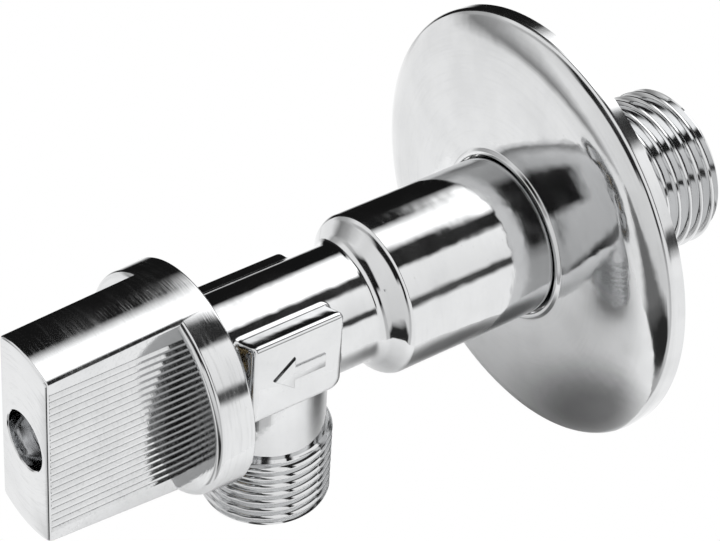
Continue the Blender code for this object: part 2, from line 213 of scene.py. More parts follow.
# %% Distances to the pads and the neck, in millimetres
NECK_R = 7.65
SHOULDER_START = -30.7  # where the neck's rows end
RIGHT_PAD = {"centre": (7.5, 6.14), "lean": 112, "front": -49.7, "back": -36.4, "rounding": 0.8}
LEFT_PAD = {"centre": (7.5, 3.3), "lean": 74, "front": -49.7, "back": -34.0, "rounding": 0.9}
PAD_BOTTOM = -4.2
PAD_EDGE = 1.1  # the rounding of a pad's upper edge, round the centre given above
FRONT_CORNER, BACK_CORNER, PAD_FILLET = 0.8, 1.7, 0.45


def share_rounded(a, b, rounding):
    """What two shapes share, with the edge between them rounded."""
    corner = np.hypot(np.maximum(rounding + a, 0), np.maximum(rounding + b, 0))
    return np.minimum(-rounding, np.maximum(a, b)) + corner


def join_filleted(a, b, fillet):
    """Two shapes together, with a fillet in the corner between them."""
    corner = np.hypot(np.maximum(fillet - a, 0), np.maximum(fillet - b, 0))
    return np.maximum(fillet, np.minimum(a, b)) - corner


def pad_distance(x, y, z, centre, lean, front, back, rounding):
    """A pad reaches from the axis to its flat face, on one side only, and its top leans by an angle."""
    lean = math.radians(lean)
    half = (centre[0] + PAD_EDGE) / 2
    face = np.abs(x - half) - half
    top = (x - centre[0]) * math.cos(lean) + (z - centre[1]) * math.sin(lean) - PAD_EDGE
    sides = share_rounded(y - back, PAD_BOTTOM - z, BACK_CORNER)
    sides = share_rounded(sides, front - y, FRONT_CORNER)
    slab = share_rounded(face, top, PAD_EDGE)
    return share_rounded(slab, sides, rounding)


def body_distance(x, y, z):
    neck = np.hypot(x, z) - NECK_R
    pads = np.minimum(pad_distance(x, y, z, **RIGHT_PAD), pad_distance(-x, y, z, **LEFT_PAD))
    return join_filleted(neck, pads, PAD_FILLET)


# %% [markdown]
# The points of a spun mesh are evenly spread, but a pad's edge needs more of them than the plain neck.
# The columns are therefore crowded towards the angles of the pads' edges, and the rows towards their ends.

# %% Crowded columns and rows
COLUMNS = 360
CROWDED = ((44, 15, 4.0), (146, 14, 3.0), (-27, 9, 2.0), (-153, 9, 2.0))  # angle, spread in degrees, density
ROW_STRETCHES = ((-53.5, -50.2, 0.6), (-50.2, -49.2, 0.07), (-49.2, -37.0, 0.34), (-37.0, -35.9, 0.06),
                 (-35.9, -34.8, 0.2), (-34.8, -33.4, 0.08), (-33.4, SHOULDER_START, 0.3))  # from, to, spacing


def column_angles():
    """The columns' angles in degrees, spread so that each takes the same share of the density."""
    angles = np.linspace(-180, 180, 3601)  # every tenth of a degree
    density = np.ones_like(angles)
    for middle, spread, extra in CROWDED:
        away = (angles - middle + 180) % 360 - 180
        density += extra * np.exp(-((away / spread) ** 2))
    share = np.cumsum(density)
    share = (share - share[0]) / (share[-1] - share[0])
    return np.interp(np.arange(COLUMNS) / COLUMNS, share, angles)


def rows(start, stop, spacing):
    count = max(1, round((stop - start) / spacing))
    return [start + (stop - start) * i / count for i in range(count)]


row_places = [y for stretch in ROW_STRETCHES for y in rows(*stretch)]
print(len(row_places), "rows and", COLUMNS, "columns")

# %% Spin the body's core and push its points out to the pads
COLLAR_R = 10.4
NECK_FRONT, NECK_EDGE = -54, 0.4
COLLAR_START, COLLAR_END = -27.0, 5.6
FOOT, ROUND = 2.2, 1.7  # fillet at the shoulder's foot and rounding of its crest
SLOPE, KINK = 52, 12  # degrees that the shoulder's face and the collar's front edge lean forward
INLET_THREAD = (10.478, 1.814, 1.162)  # outer radius, pitch and depth of G1/2
OUTLET_THREAD = (8.331, 1.337, 0.856)  # and of G3/8
INLET_THREAD_START, THREAD_OVERLAP = 7.6, 1
RELIEF_R = INLET_THREAD[0] - INLET_THREAD[2] - 0.2
SEARCH_FROM, SEARCH_TO = 12.5, 6.5  # radii between which the pads and the neck have their surface
SEARCH_STEPS, HALVINGS = 81, 16
NEAR = 0.05  # more than a stored height can differ from its row


def shoulder():
    """The fillet at the foot, the sloping face and the crest's rounding, which ends at the collar."""
    slope, kink = math.radians(SLOPE), math.radians(KINK)
    crest = Vector((COLLAR_R - ROUND * math.cos(kink), COLLAR_START + ROUND * math.sin(kink)))
    face_end = crest + ROUND * Vector((math.cos(slope), -math.sin(slope)))
    face_start_r = NECK_R + FOOT * (1 - math.cos(slope))
    face_start_y = face_end.y - (face_end.x - face_start_r) / math.tan(slope)
    foot = Vector((NECK_R + FOOT, face_start_y - FOOT * math.sin(slope)))
    return arc(foot, FOOT, 180, 180 - SLOPE, 10) + arc(crest, ROUND, -SLOPE, -KINK, 10)


def core_outline():
    end = INLET_THREAD_START + THREAD_OVERLAP
    front = rounded([(0, NECK_FRONT, 0), (NECK_R, NECK_FRONT, NECK_EDGE), (NECK_R, row_places[0], 0)], 4)[:-1]
    neck = [Vector((NECK_R, y)) for y in row_places]
    collar = rounded([(COLLAR_R, COLLAR_START, 0), (COLLAR_R, COLLAR_END, 0.5),
                      (RELIEF_R, COLLAR_END + 1, 0.2), (RELIEF_R, end, 0), (0, end, 0)], 4)[1:]
    return front + neck + shoulder() + collar


def outermost(y, angle):
    """The surface's distance from the axis, found by stepping inwards and then halving the last step."""
    cos, sin = np.cos(angle), np.sin(angle)
    steps = np.linspace(SEARCH_FROM, SEARCH_TO, SEARCH_STEPS)
    inside = np.array([body_distance(cos * r, y, sin * r) < 0 for r in steps])
    first = inside.argmax(axis=0)
    outer, inner = steps[first - 1], steps[first]
    for _ in range(HALVINGS):
        middle = (outer + inner) / 2
        within = body_distance(cos * middle, y, sin * middle) < 0
        inner, outer = np.where(within, middle, inner), np.where(within, outer, middle)
    return outer


def body_core():
    """The spun core, its columns crowded and its points pushed out from the first row to the shoulder."""
    bm = turned([point * MM for point in core_outline()], COLUMNS)
    angles = np.radians(column_angles())
    verts = [v for v in bm.verts if v.co.xz.length > MM]  # all but the two on the axis
    column = [round(math.degrees(math.atan2(v.co.z, v.co.x)) + 180) % COLUMNS for v in verts]
    angle = angles[column]
    y = np.array([v.co.y for v in verts]) / MM
    reach = np.array([v.co.xz.length for v in verts]) / MM
    pushed = (y > row_places[0] - NEAR) & (y < SHOULDER_START)
    reach[pushed] = outermost(y[pushed], angle[pushed])
    for vert, turn, radius in zip(verts, angle, reach):
        vert.co.x, vert.co.z = radius * MM * math.cos(turn), radius * MM * math.sin(turn)
    return bm


body = piece("body", body_core())
describe(body)

# %% [markdown]
# ## Pipe threads
# A pipe thread is one profile, moved along the axis while it turns. `spin` does that in one step through its
# `dvec`. The profile has rounded crests and roots, as a rolled or cut pipe thread has. The rod is then cut
# square at both ends and closed, and its ends are chamfered by holding every point under a 45 degree cone.

# %% Threaded rod
THREAD_PROFILE = ((0, 0), (0.08, 0.07), (0.24, 0.6), (0.34, 0.88), (0.43, 0.98), (0.57, 0.98), (0.66, 0.88),
                  (0.76, 0.6), (0.92, 0.07), (1, 0))  # shares of the pitch and of the depth
START_CHAMFER, END_CHAMFER = 0.6, 1.0
THREAD_STEPS = 120  # to each turn


def threaded(thread, start, end, place):
    """A rod with this thread from start to end in millimetres, moved into place."""
    outer, pitch, depth = thread
    turns = math.ceil((end - start) / pitch) + 2
    bm = bmesh.new()
    profile = [bm.verts.new(((outer - depth + depth * share) * MM, 0, (start + (step - 1.5) * pitch) * MM))
               for step, share in THREAD_PROFILE]
    edges = [bm.edges.new(pair) for pair in zip(profile, profile[1:])]
    bmesh.ops.spin(bm, geom=profile + edges, cent=(0, 0, 0), axis=(0, 0, 1), angle=2 * math.pi * turns,
                   steps=THREAD_STEPS * turns, dvec=(0, 0, pitch * MM / THREAD_STEPS))
    bmesh.ops.remove_doubles(bm, verts=bm.verts, dist=1e-6)
    for height, side in ((start, -1), (end, 1)):
        cut = bmesh.ops.bisect_plane(bm, geom=bm.verts[:] + bm.edges[:] + bm.faces[:], dist=1e-7,
                                     plane_co=(0, 0, height * MM), plane_no=(0, 0, side), clear_outer=True)
        rim = [edge for edge in cut["geom_cut"] if isinstance(edge, bmesh.types.BMEdge)]
        bmesh.ops.contextual_create(bm, geom=rim)
    for vert in bm.verts:
        z = vert.co.z / MM
        allowed = min(outer - END_CHAMFER + end - z, outer - START_CHAMFER + z - start) * MM
        if vert.co.xy.length > allowed:
            vert.co.xy *= allowed / vert.co.xy.length
    bmesh.ops.remove_doubles(bm, verts=bm.verts, dist=0.01 * MM)
    bmesh.ops.transform(bm, matrix=place, verts=bm.verts)
    return bm


# %% Join the threads and the branch to the body, and bore it
BRANCH_Y, BRANCH_R, BRANCH_START = -41.3, 7.42, 3
AT_BRANCH = Matrix.Translation((0, BRANCH_Y * MM, 0)) @ DOWN
INLET_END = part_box("valve_body")[1].y / MM
OUTLET_END = -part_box("valve_body")[0].z / MM
OUTLET_THREAD_START = 13.4
BRANCH_END = OUTLET_THREAD_START + 0.5
CHAMBER_R, CHAMBER_START, CHAMBER_END = 6.2, -60, -34.6
BORE_R, BORE_MOUTH_R = 4.5, 6.0
OUTLET_BORE_R, OUTLET_MOUTH_R = 4.8, 6.2
BEYOND = 1  # how far a cutter runs past the end that it cuts

branch = turned(mm([(0, BRANCH_START, 0), (BRANCH_R, BRANCH_START, 0), (BRANCH_R, BRANCH_END, 0),
                    (0, BRANCH_END, 0)]), 128, AT_BRANCH)
chamber = turned(mm([(0, CHAMBER_START, 0), (CHAMBER_R, CHAMBER_START, 0), (CHAMBER_R, CHAMBER_END, 0.3),
                     (BORE_R, CHAMBER_END, 0), (BORE_R, INLET_END - 0.5, 0),
                     (BORE_MOUTH_R, INLET_END + BEYOND, 0), (0, INLET_END + BEYOND, 0)]), 96)
outlet_bore = turned(mm([(0, 1, 0), (OUTLET_BORE_R, 1, 0), (OUTLET_BORE_R, OUTLET_END - 0.4, 0),
                         (OUTLET_MOUTH_R, OUTLET_END + BEYOND, 0), (0, OUTLET_END + BEYOND, 0)]), 96,
                     AT_BRANCH)
carve(body, branch, "UNION")
carve(body, threaded(INLET_THREAD, INLET_THREAD_START, INLET_END, ALONG_Y), "UNION")
carve(body, threaded(OUTLET_THREAD, OUTLET_THREAD_START, OUTLET_END, AT_BRANCH), "UNION")
carve(body, chamber)
carve(body, outlet_bore)
describe(body)

# %% [markdown]
# The right pad of such a valve carries a raised mark from the forging die. Here it is a plain flow arrow that
# points from the wall to the knob: one outline, pulled out of the pad by a quarter of a millimetre, its
# upper edges bevelled as a polished relief has them.

# %% A raised flow arrow on the right pad
ARROW = ((-46.6, 1.6), (-43.6, 4.0), (-43.6, 2.6), (-39.2, 2.6), (-39.2, 0.6), (-43.6, 0.6), (-43.6, -0.8))
ARROW_HEIGHT, ARROW_EDGE, ARROW_ROOT = 0.26, 0.14, 0.4  # the root lies inside the pad


def arrow():
    face = RIGHT_PAD["centre"][0] + PAD_EDGE
    bm = bmesh.new()
    base = bm.faces.new([bm.verts.new(((face - ARROW_ROOT) * MM, y * MM, z * MM)) for y, z in ARROW])
    made = bmesh.ops.extrude_face_region(bm, geom=[base])["geom"]
    top = [item for item in made if isinstance(item, bmesh.types.BMVert)]
    bmesh.ops.translate(bm, vec=((ARROW_HEIGHT + ARROW_ROOT) * MM, 0, 0), verts=top)
    rim = [edge for edge in bm.edges if all(vert in top for vert in edge.verts)]
    bmesh.ops.bevel(bm, geom=rim, offset=ARROW_EDGE * MM, affect="EDGES", segments=3, profile=0.5,
                    material=-1)
    bmesh.ops.recalc_face_normals(bm, faces=bm.faces)
    return bm


carve(body, arrow(), "UNION")
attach(body, "valve")
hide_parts("valve_body")
describe(body)

# %% [markdown]
# ## Knob
# The knob is a cone with both sides milled flat, which leaves a bar to grip and a round skirt behind it.
# Fine grooves run along the flats. The bar is an outline pulled along the axis, its arcs following the
# cone and its front edge drawn in a little. The skirt is turned. The two are joined, and the screw's well
# and the stem's square socket are cut out.

# %% The bar's outline, with its grooves
FRONT, BACK = (corner.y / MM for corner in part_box("handle"))
FRONT_R, BACK_R = 13.3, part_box("handle")[1].x / MM
FLAT_X, WALL_Y, WALL_EDGE = 5.1, -57.9, 0.9
GROOVES, GROOVE_PITCH, GROOVE_WIDTH, GROOVE_DEPTH = 21, 1.04, 0.76, 0.3
GROOVE_SECTION = ((0, -0.5), (0.92, -0.06), (1, 0), (0.92, 0.06), (0, 0.5))  # shares of depth and width
CORNER = ((0, 0.3), (0.03, 0.14), (0.1, 0.02))  # how far in from the flat and down from the arc
CORNER_LENGTH = 0.35  # how far round the arc the corner reaches
BAR_EDGE, PLAIN_END, GROOVE_START = 0.3, 0.36, 0.48  # from the front: rounding, plain band, full grooves
STATIONS = (0.04, 0.13, BAR_EDGE, PLAIN_END, GROOVE_START, 3, 6, 9, 12, 15)
ARC_Z, ARC_STEPS = 11.3, 36  # points of the bar above this height lie on its arcs
ARC_LIFT = 0.01  # how far the arcs stand outside the skirt's cone, so that the two join cleanly


def cone_r(y):
    """The knob's radius at y, in millimetres."""
    return FRONT_R + (BACK_R - FRONT_R) * (y - FRONT) / (BACK - FRONT)


def bar_outline(radius):
    """The bar's section: each flat from its lower to its upper edge, and the arc after it."""
    top = math.sqrt(radius**2 - FLAT_X**2)
    edge = [(FLAT_X - into, top - down) for into, down in CORNER]
    side = [(x, -z) for x, z in reversed(edge)]
    for groove in range(GROOVES):
        middle = (groove + 0.5 - GROOVES / 2) * GROOVE_PITCH
        side += [(FLAT_X - GROOVE_DEPTH * deep, middle + GROOVE_WIDTH * out) for deep, out in GROOVE_SECTION]
    side += edge
    begin = math.atan2(top, FLAT_X) + CORNER_LENGTH / radius
    turns = [begin + (math.pi - 2 * begin) * i / ARC_STEPS for i in range(ARC_STEPS + 1)]
    half = side + [(radius * math.cos(turn), radius * math.sin(turn)) for turn in turns]
    return half + [(-x, -z) for x, z in half]


# %% The knob
def bar():
    """The outline pulled along the axis, its arcs then drawn in to the cone and its front edge rounded."""
    bm = bmesh.new()
    face = bm.faces.new([bm.verts.new((x * MM, FRONT * MM, z * MM)) for x, z in bar_outline(BACK_R)])
    made = bmesh.ops.extrude_face_region(bm, geom=[face])["geom"]
    bmesh.ops.translate(bm, vec=(0, (WALL_Y + WALL_EDGE - FRONT) * MM, 0),
                        verts=[item for item in made if isinstance(item, bmesh.types.BMVert)])
    for station in STATIONS:
        bmesh.ops.bisect_plane(bm, geom=bm.verts[:] + bm.edges[:] + bm.faces[:], dist=1e-7,
                               plane_co=(0, (FRONT + station) * MM, 0), plane_no=(0, 1, 0))
    for vert in bm.verts:
        x, y, z = vert.co / MM
        if abs(z) > ARC_Z:
            drop = math.sqrt(BACK_R**2 - x * x) - math.sqrt((cone_r(y) + ARC_LIFT) ** 2 - x * x)
            z -= math.copysign(drop, z)
        elif abs(x) < FLAT_X and y - FRONT < (PLAIN_END + GROOVE_START) / 2:
            x = math.copysign(FLAT_X, x)
        into = min(y - FRONT, BAR_EDGE)
        inset = BAR_EDGE - math.sqrt(max(BAR_EDGE**2 - (BAR_EDGE - into) ** 2, 0))
        vert.co.x, vert.co.z = x * (1 - inset / FLAT_X) * MM, z * (1 - inset / FRONT_R) * MM
    return bm


def block(low, high):
    """A box between two corners in millimetres."""
    bm = bmesh.new()
    bmesh.ops.create_cube(bm, size=1)
    low, high = Vector(low) * MM, Vector(high) * MM
    bmesh.ops.scale(bm, vec=high - low, verts=bm.verts)
    bmesh.ops.translate(bm, vec=(high + low) / 2, verts=bm.verts)
    return bm


HOLLOW_R, HOLLOW_FLOOR = 12.5, -56.9
WELL_R, WELL_MOUTH_R, WELL_FLOOR = 3.8, 4.85, -70.2
SCREW_HOLE_R, SCREW_HOLE_END = 2.05, -68.0
SOCKET, SOCKET_FRONT, SOCKET_BACK = 2.8, -68.7, -56
KNOB_SHARP = 24  # degrees, so more of the knob's edges stay sharp than on other pieces

knob = piece("knob", bar(), KNOB_SHARP)
skirt = mm([(0, WALL_Y, 0), (cone_r(WALL_Y), WALL_Y, WALL_EDGE), (BACK_R, BACK, 0.35), (HOLLOW_R, BACK, 0.25),
            (HOLLOW_R, HOLLOW_FLOOR, 0.8), (0, HOLLOW_FLOOR, 0)])
well = mm([(0, FRONT - BEYOND, 0), (WELL_MOUTH_R, FRONT - BEYOND, 0), (WELL_R, FRONT + 0.15, 0.1),
           (WELL_R, WELL_FLOOR, 0), (SCREW_HOLE_R, WELL_FLOOR, 0), (SCREW_HOLE_R, SCREW_HOLE_END, 0),
           (0, SCREW_HOLE_END, 0)])
carve(knob, turned(skirt), "UNION", KNOB_SHARP)
carve(knob, turned(well, 96), sharp=KNOB_SHARP)
carve(knob, block((-SOCKET, SOCKET_FRONT, -SOCKET), (SOCKET, SOCKET_BACK, SOCKET)), sharp=KNOB_SHARP)
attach(knob, "knob")
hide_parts("handle")
describe(knob)

# %% [markdown]
# ## Knob screw
# Down in the well sits a pan head screw with a crossed recess. Its dome and its dark cross are all that
# shows of it, so the dome is turned with a good rounding and the cross is cut with two tapered blocks.

# %% Knob screw
HEAD_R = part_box("handle_screw")[1].x / MM
HEAD_TOP, SCREW_END = (corner.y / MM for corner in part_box("handle_screw"))
HEAD_BACK = HEAD_TOP + 2.2
DOME_R, SHANK_R = 1.7, 1.45
SLOT_HALF, CROSS_HALF, CROSS_DEPTH, CROSS_TAPER = 0.42, 1.9, 1.4, 0.55

screw_outline = mm([(0, HEAD_TOP, 0), (DOME_R, HEAD_TOP + 0.05, 1.0), (HEAD_R, HEAD_TOP + 1.3, 0.7),
                    (HEAD_R, HEAD_BACK, 0.15), (SHANK_R, HEAD_BACK, 0), (SHANK_R, SCREW_END, 0.3),
                    (0, SCREW_END, 0)])
screw = piece("knob_screw", turned(screw_outline, 96))
for wide, tall in ((SLOT_HALF, CROSS_HALF), (CROSS_HALF, SLOT_HALF)):
    recess = block((-wide, HEAD_TOP - BEYOND, -tall), (wide, HEAD_TOP + CROSS_DEPTH, tall))
    for vert in recess.verts:
        if vert.co.y > HEAD_TOP * MM:
            vert.co.x *= CROSS_TAPER
            vert.co.z *= CROSS_TAPER
    carve(screw, recess)
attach(screw, "knob")
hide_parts("handle_screw")
describe(screw)

# %% [markdown]
# ## Rosette
# The rosette is pressed from sheet: a shallow dish, slightly domed, with a rolled rim and a small
# turned-up lip round its hole. One outline for the outer side and one, a sheet's thickness behind it,
# for the inner side make a closed shell when spun.

# %% Rosette
ROSETTE_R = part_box("rosette")[1].x / MM
HOLE_R = 10.65
SHEET = 0.8
DOME_FOOT = Vector((12.6, -5.45))
ROLLS = ((56.0, 11.5), (10.0, 38.0), (1.48, 90.0))  # each arc's radius and its last angle, from dome to rim
LIP_FOOT_R, LIP_R, LIP_TOP = 11.5, 11.15, DOME_FOOT.y - 0.4


def rosette_side(inset):
    """The outline from the rim's edge over the dome to its foot, drawn in by a sheet's thickness or none."""
    points, center, lean, before = [], DOME_FOOT.copy(), 0.0, 0.0
    for radius, until in ROLLS:
        center += Vector((math.sin(lean), -math.cos(lean))) * (before - radius)
        points += arc(center, radius - inset, math.degrees(lean) - 90, until - 90, 14)[bool(points):]
        lean, before = math.radians(until), radius
    return [Vector((ROSETTE_R - inset, 0))] + points[::-1]


outer = rosette_side(0)
lip = rounded([(DOME_FOOT.x, DOME_FOOT.y, 0), (LIP_FOOT_R, DOME_FOOT.y, 0.25), (LIP_R, LIP_TOP, 0.22),
               (HOLE_R, LIP_TOP, 0.18), (HOLE_R, DOME_FOOT.y + SHEET, 0)], 6)[1:]
inner = [Vector((HOLE_R, DOME_FOOT.y + SHEET + 0.4))] + list(reversed(rosette_side(SHEET)))
rosette = piece("rosette_shell", turned([point * MM for point in outer + lip + inner], 256))
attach(rosette, "rosette")
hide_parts("rosette")
describe(rosette)

# %% [markdown]
# ## Finishes
# Every finish is made of nodes that work on Object coordinates, so it stays on its piece when the piece
# moves. Marks that several finishes share are made once, as node groups with their own inputs. Two short
# functions keep the trees readable: one adds a node and plugs in its inputs, the other does a sum.

# %% A short way to add nodes
def node(tree, kind, settings=(), **sockets):
    """Adds a node. Settings are its options; a socket takes a value or another node's output."""
    made = tree.nodes.new("ShaderNode" + kind)
    for name, value in dict(settings).items():
        setattr(made, name, value)
    for name, value in sockets.items():
        socket = made.inputs[int(name[1:])] if name[0] == "_" else made.inputs[name.replace("_", " ")]
        if isinstance(value, bpy.types.NodeSocket):
            tree.links.new(value, socket)
        else:
            socket.default_value = value
    return made


def calc(tree, operation, *values):
    """Adds a sum of values or other nodes' outputs, and gives its output."""
    sockets = {f"_{i}": value for i, value in enumerate(values)}
    return node(tree, "Math", {"operation": operation}, **sockets).outputs[0]


def ramp(tree, value, stops):
    """A color ramp through (place, grey) stops."""
    made = node(tree, "ValToRGB", Fac=value)
    elements = made.color_ramp.elements
    while len(elements) > 1:
        elements.remove(elements[0])
    for i, (place, grey) in enumerate(stops):
        element = elements[0] if i == 0 else elements.new(place)
        element.position, element.color = place, (grey, grey, grey, 1)
    return made.outputs["Color"]


# %% [markdown]
# ### Marks that the finishes share
# Polished metal is never perfectly even. `surface_marks` gives a height for a Bump node and a mask for
# roughness from three things at their real sizes: a ripple of a millimetre or two left by the polishing
# wheel, fine marks that run round the part's axis, and smudges from hands. The marks round the axis use four
# coordinates, the distance from the axis, the sine and cosine of the turn and the length along the axis,
# so they have no seam. `specks` gives a mask of pinholes and dust.

# %% Surface marks
RIPPLE_SIZE, SMUDGE_SIZE = 2.2, 6.0  # in millimetres
FINE_MARK, STREAK = (0.16, 2.2), (0.35, 3.0)  # millimetres along the valve's long axis and round it


def group(name, inputs, outputs):
    """A new node group of plain values, with what it is given and where its results are put."""
    made = bpy.data.node_groups.new(name, "ShaderNodeTree")
    for label, value in inputs:
        made.interface.new_socket(label, in_out="INPUT", socket_type="NodeSocketFloat").default_value = value
    for label in outputs:
        made.interface.new_socket(label, in_out="OUTPUT", socket_type="NodeSocketFloat")
    return made, made.nodes.new("NodeGroupInput").outputs, made.nodes.new("NodeGroupOutput").inputs


def noise(tree, size, detail, **more):
    """Noise whose lumps are about this many millimetres across."""
    return node(tree, "TexNoise", Scale=1 / (size * MM), Detail=detail, **more).outputs[0]


def round_axis(tree, along, length):
    """Noise drawn out round the valve's long axis: so many millimetres along it and so many round it."""
    place = node(tree, "SeparateXYZ", Vector=node(tree, "TexCoord").outputs["Object"]).outputs
    turn = calc(tree, "ARCTAN2", place["Z"], place["X"])
    flat = node(tree, "CombineXYZ", X=place["X"], Y=place["Z"])
    radius = node(tree, "VectorMath", {"operation": "LENGTH"}, _0=flat.outputs[0]).outputs["Value"]
    stretch = 10.0 / length
    round_it = node(tree, "CombineXYZ", X=calc(tree, "DIVIDE", radius, along * MM),
                    Y=calc(tree, "MULTIPLY", calc(tree, "SINE", turn), stretch),
                    Z=calc(tree, "MULTIPLY", calc(tree, "COSINE", turn), stretch)).outputs[0]
    return node(tree, "TexNoise", {"noise_dimensions": "4D"}, Vector=round_it, Scale=1.0, Detail=2.0,
                W=calc(tree, "DIVIDE", place["Y"], along * MM)).outputs[0]


def surface_marks():
    inputs = (("Ripple", 1.0), ("Marks", 1.0), ("Smudges", 1.0))
    made, given, put = group("surface_marks", inputs, ("Height", "Haze"))
    here = node(made, "TexCoord").outputs["Object"]
    ripple = calc(made, "MULTIPLY", noise(made, RIPPLE_SIZE, 1.0, Vector=here), given["Ripple"])
    fine = calc(made, "MULTIPLY", round_axis(made, *FINE_MARK), given["Marks"])
    made.links.new(calc(made, "ADD", ripple, calc(made, "MULTIPLY", fine, 0.12)), put["Height"])
    lumps = noise(made, SMUDGE_SIZE, 4.0, Vector=here)
    smudge = node(made, "MapRange", _0=lumps, From_Min=0.42, From_Max=0.68).outputs[0]
    streak = node(made, "MapRange", _0=round_axis(made, *STREAK), From_Min=0.5, From_Max=0.75).outputs[0]
    haze = calc(made, "ADD", calc(made, "MULTIPLY", smudge, given["Smudges"]),
                calc(made, "MULTIPLY", streak, calc(made, "MULTIPLY", given["Marks"], 0.5)))
    made.links.new(node(made, "Math", {"operation": "MINIMUM"}, _0=haze, _1=1.0).outputs[0], put["Haze"])
    return made


def specks():
    made, given, put = group("specks", (("Size mm", 0.5), ("Share", 0.1)), ("Mask",))
    scale = calc(made, "DIVIDE", 1 / MM, given["Size mm"])
    here = node(made, "TexCoord").outputs["Object"]
    cells = node(made, "TexVoronoi", Vector=here, Scale=scale)
    near = node(made, "MapRange", _0=cells.outputs["Distance"], From_Min=0.05, From_Max=0.22, To_Min=1.0,
                To_Max=0.0)
    pick = node(made, "SeparateXYZ", Vector=cells.outputs["Color"]).outputs["X"]
    chosen = calc(made, "LESS_THAN", pick, given["Share"])
    made.links.new(calc(made, "MULTIPLY", near.outputs[0], chosen), put["Mask"])
    return made


SURFACE_MARKS, SPECKS = surface_marks(), specks()
print("shared marks:", [made.name for made in bpy.data.node_groups])

# %% [markdown]
# ### Metals
# All the metals are one recipe with different numbers: a colour that varies a little with the haze, a low
# roughness that rises in smudges and marks, specks that dull it, and a slight bump. Marks are strongest on
# turned brass and on the knob, and the pressed rosette is a little softer than the body.

# %% Metal recipe
def metal(name, color, dull, roughness, rough_haze, ripple, marks, smudges, speck=(0.5, 0.06), depth=0.012):
    material = bpy.data.materials.new(name)
    material.use_nodes = True
    tree = material.node_tree
    shader = tree.nodes["Principled BSDF"]
    shader.inputs["Metallic"].default_value = 1.0
    made = node(tree, "Group", {"node_tree": SURFACE_MARKS}, Ripple=ripple, Marks=marks,
                Smudges=smudges).outputs
    dots = node(tree, "Group", {"node_tree": SPECKS}, Size_mm=speck[0], Share=speck[1]).outputs["Mask"]
    worn = calc(tree, "MAXIMUM", calc(tree, "MULTIPLY", made["Haze"], 0.6), dots)
    tint = node(tree, "MixRGB", _0=worn, _1=(*color, 1), _2=(*dull, 1)).outputs[0]
    tree.links.new(tint, shader.inputs["Base Color"])
    rough = node(tree, "MapRange", _0=made["Haze"], To_Min=roughness, To_Max=rough_haze).outputs[0]
    speckled = calc(tree, "ADD", rough, calc(tree, "MULTIPLY", dots, 0.15))
    tree.links.new(speckled, shader.inputs["Roughness"])
    bump = node(tree, "Bump", Strength=1.0, Distance=depth * MM, Height=made["Height"])
    tree.links.new(bump.outputs[0], shader.inputs["Normal"])
    return material


# %% Chrome, brass and steel
CHROME, DULL_CHROME = (0.64, 0.645, 0.65), (0.56, 0.565, 0.57)
body_chrome = metal("body_chrome", CHROME, DULL_CHROME, 0.05, 0.12, ripple=1.3, marks=0.5, smudges=0.8,
                    depth=0.02)
knob_chrome = metal("knob_chrome", CHROME, DULL_CHROME, 0.05, 0.14, ripple=0.6, marks=2.4, smudges=0.8,
                    depth=0.02)
rosette_chrome = metal("rosette_chrome", CHROME, DULL_CHROME, 0.06, 0.14, ripple=1.0, marks=0.9, smudges=1.0,
                       speck=(0.45, 0.1), depth=0.02)
ball_chrome = metal("ball_chrome", CHROME, DULL_CHROME, 0.03, 0.06, ripple=0.2, marks=0.3, smudges=0.3)
turned_brass = metal("turned_brass", (0.72, 0.52, 0.24), (0.5, 0.36, 0.18), 0.18, 0.34, ripple=0.4, marks=3.0,
                     smudges=1.0, speck=(0.5, 0.1))
zinc_steel = metal("zinc_steel", (0.68, 0.69, 0.7), (0.5, 0.5, 0.52), 0.14, 0.3, ripple=0.6, marks=1.2,
                   smudges=1.0, speck=(0.3, 0.12))

# %% [markdown]
# ### Plastic and rubber
# The seats are white PTFE, waxy, with marks from turning. The O-rings are black rubber with a moulded sheen
# and a trace of grease and dust.

# %% Matt recipe
DUST = (0.5, 0.49, 0.47, 1)
MATT_DEPTH = 0.01


def matt(name, color, other, roughness, rough_haze, dust, marks):
    material = bpy.data.materials.new(name)
    material.use_nodes = True
    tree = material.node_tree
    shader = tree.nodes["Principled BSDF"]
    made = node(tree, "Group", {"node_tree": SURFACE_MARKS}, Ripple=0.8, Marks=marks, Smudges=1.0).outputs
    dots = node(tree, "Group", {"node_tree": SPECKS}, Size_mm=0.35, Share=dust).outputs["Mask"]
    tone = node(tree, "MixRGB", _0=made["Haze"], _1=(*color, 1), _2=(*other, 1)).outputs[0]
    dusty = node(tree, "MixRGB", _0=calc(tree, "MULTIPLY", dots, 0.5), _1=tone, _2=DUST).outputs[0]
    tree.links.new(dusty, shader.inputs["Base Color"])
    rough = node(tree, "MapRange", _0=made["Haze"], To_Min=roughness, To_Max=rough_haze).outputs[0]
    tree.links.new(rough, shader.inputs["Roughness"])
    bump = node(tree, "Bump", Strength=1.0, Distance=MATT_DEPTH * MM, Height=made["Height"])
    tree.links.new(bump.outputs[0], shader.inputs["Normal"])
    return material


white_ptfe = matt("white_ptfe", (0.86, 0.86, 0.83), (0.78, 0.78, 0.75), 0.32, 0.48, dust=0.04, marks=2.0)
black_rubber = matt("black_rubber", (0.022, 0.022, 0.022), (0.04, 0.04, 0.038), 0.38, 0.6, dust=0.1,
                    marks=0.3)
black_rubber.node_tree.nodes["Principled BSDF"].inputs["Coat Weight"].default_value = 0.15

# %% Give every piece its finish
FINISHES = {"chrome": body_chrome, "ball_chrome": ball_chrome, "brass": turned_brass, "steel": zinc_steel,
            "ptfe": white_ptfe, "epdm": black_rubber}


def put_finish(obj, finish):
    obj.data.materials.clear()
    obj.data.materials.append(finish)


